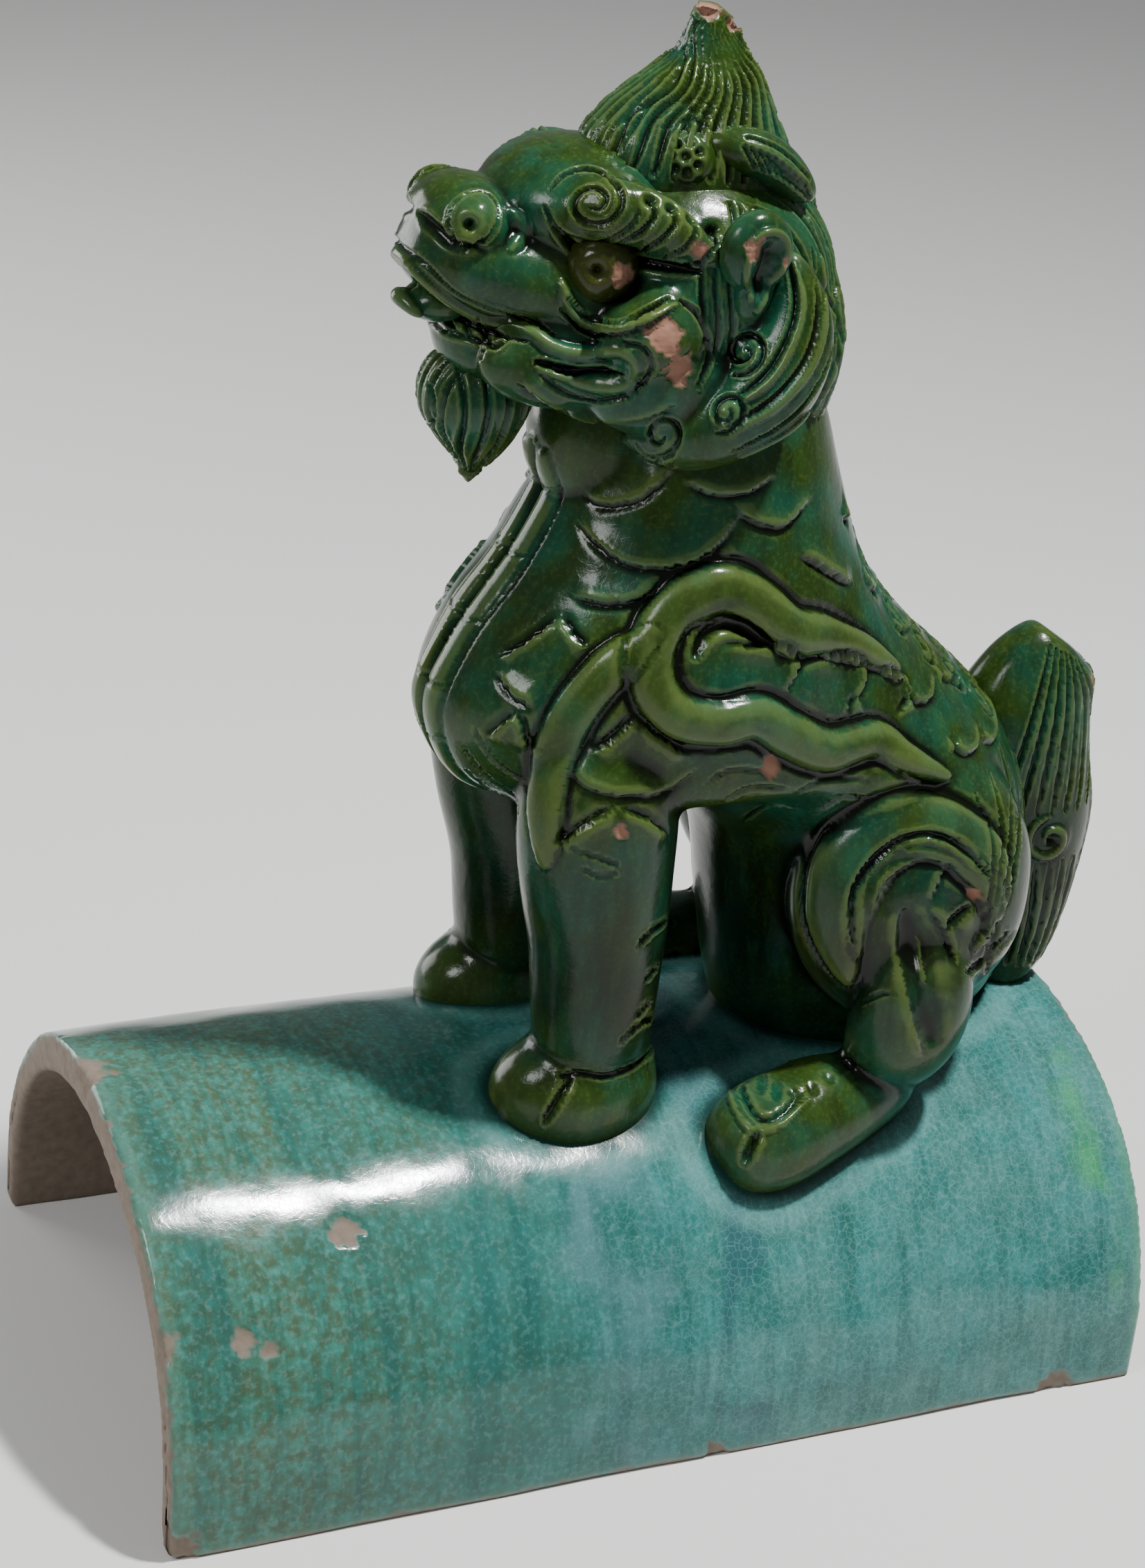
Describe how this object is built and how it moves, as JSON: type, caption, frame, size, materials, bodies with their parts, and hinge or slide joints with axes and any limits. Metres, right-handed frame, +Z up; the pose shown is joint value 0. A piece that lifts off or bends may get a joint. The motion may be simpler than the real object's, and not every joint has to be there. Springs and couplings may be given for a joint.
{
  "type": "ridge tile with guardian lion",
  "caption": "Half-barrel roof ridge tile in glazed earthenware with a seated guardian lion luted on its crown, hollow and open beneath.",
  "frame": {"origin": "on the ground, at the middle of the bounding box of the tile and lion", "axes": "+Z up, lion faces -Y along the tile's length, +X to the lion's left"},
  "size_m": [0.182, 0.3084, 0.3927],
  "materials": {
    "figure_glaze": "glossy dark green lead glaze, pooled dark in the tool marks",
    "relief_glaze": "glossy green lead glaze, thin and paler on the raised edges",
    "tile_glaze": "glossy jade green lead glaze, mottled and crazed, bare clay on the cut edges",
    "eye_glaze": "dark glaze over an iron-brown pupil"
  },
  "bodies": {
    "root": {"beard": "relief_glaze", "brow_left": "figure_glaze", "brow_right": "figure_glaze", "cheek_left": "figure_glaze", "cheek_right": "figure_glaze", "chest_strap": "relief_glaze", "crest": "figure_glaze", "ear_left": "figure_glaze", "ear_right": "figure_glaze", "eye_left": "eye_glaze", "eye_right": "eye_glaze", "foreleg_left": "figure_glaze", "foreleg_ribbon_left": "relief_glaze", "foreleg_ribbon_right": "relief_glaze", "foreleg_right": "figure_glaze", "forepaw_left": "figure_glaze", "forepaw_right": "figure_glaze", "haunch_left": "figure_glaze", "haunch_right": "figure_glaze", "haunch_ring_left": "relief_glaze", "haunch_ring_right": "relief_glaze", "head": "figure_glaze", "hindpaw_left": "figure_glaze", "hindpaw_right": "figure_glaze", "horn_boss_left": "relief_glaze", "horn_boss_right": "relief_glaze", "horn_left": "figure_glaze", "horn_right": "figure_glaze", "lower_jaw": "figure_glaze", "mane_band_left": "figure_glaze", "mane_band_right": "figure_glaze", "mane_nape": "figure_glaze", "nose": "figure_glaze", "nostril_left": "relief_glaze", "nostril_right": "relief_glaze", "ridge_tile": "tile_glaze", "shank_left": "figure_glaze", "shank_right": "figure_glaze", "shoulder_ribbon_left": "relief_glaze", "shoulder_ribbon_right": "relief_glaze", "spine_curls": "relief_glaze", "tail": "relief_glaze", "tongue": "relief_glaze", "torso": "figure_glaze"}
  },
  "joints": []
}
